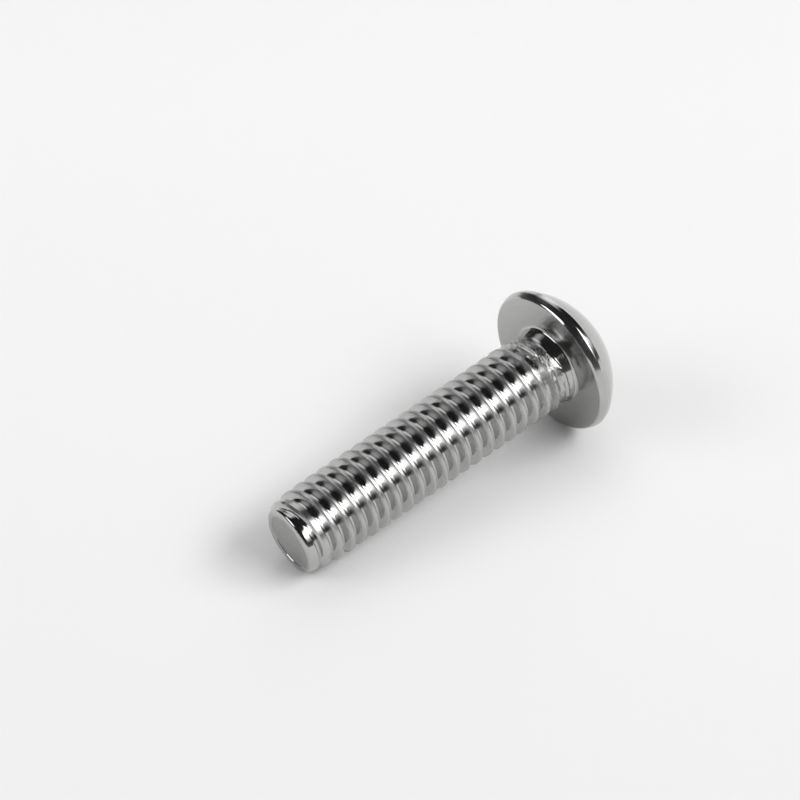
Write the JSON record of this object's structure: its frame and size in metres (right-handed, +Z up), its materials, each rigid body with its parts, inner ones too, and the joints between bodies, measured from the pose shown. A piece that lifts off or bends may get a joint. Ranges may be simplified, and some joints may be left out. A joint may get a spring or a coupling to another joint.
{
  "type": "machine screw",
  "caption": "Button head machine screw with a hexagon socket, a short plain neck, a coarse right-hand thread to the tip and a chamfered flat point.",
  "frame": {"origin": "middle of the lying screw's box, on the surface it lies on", "axes": "+X from the tip towards the head, +Z up; the screw's own axis leans 6.6 degrees, tip down, because it lies on the rim of its head and on a crest near the tip"},
  "size_m": [0.0182, 0.0072, 0.0072],
  "materials": {
    "steel": "bright rolled thread and dome, finely turned underside and tip"
  },
  "bodies": {
    "root": {"screw": "steel"}
  },
  "joints": []
}
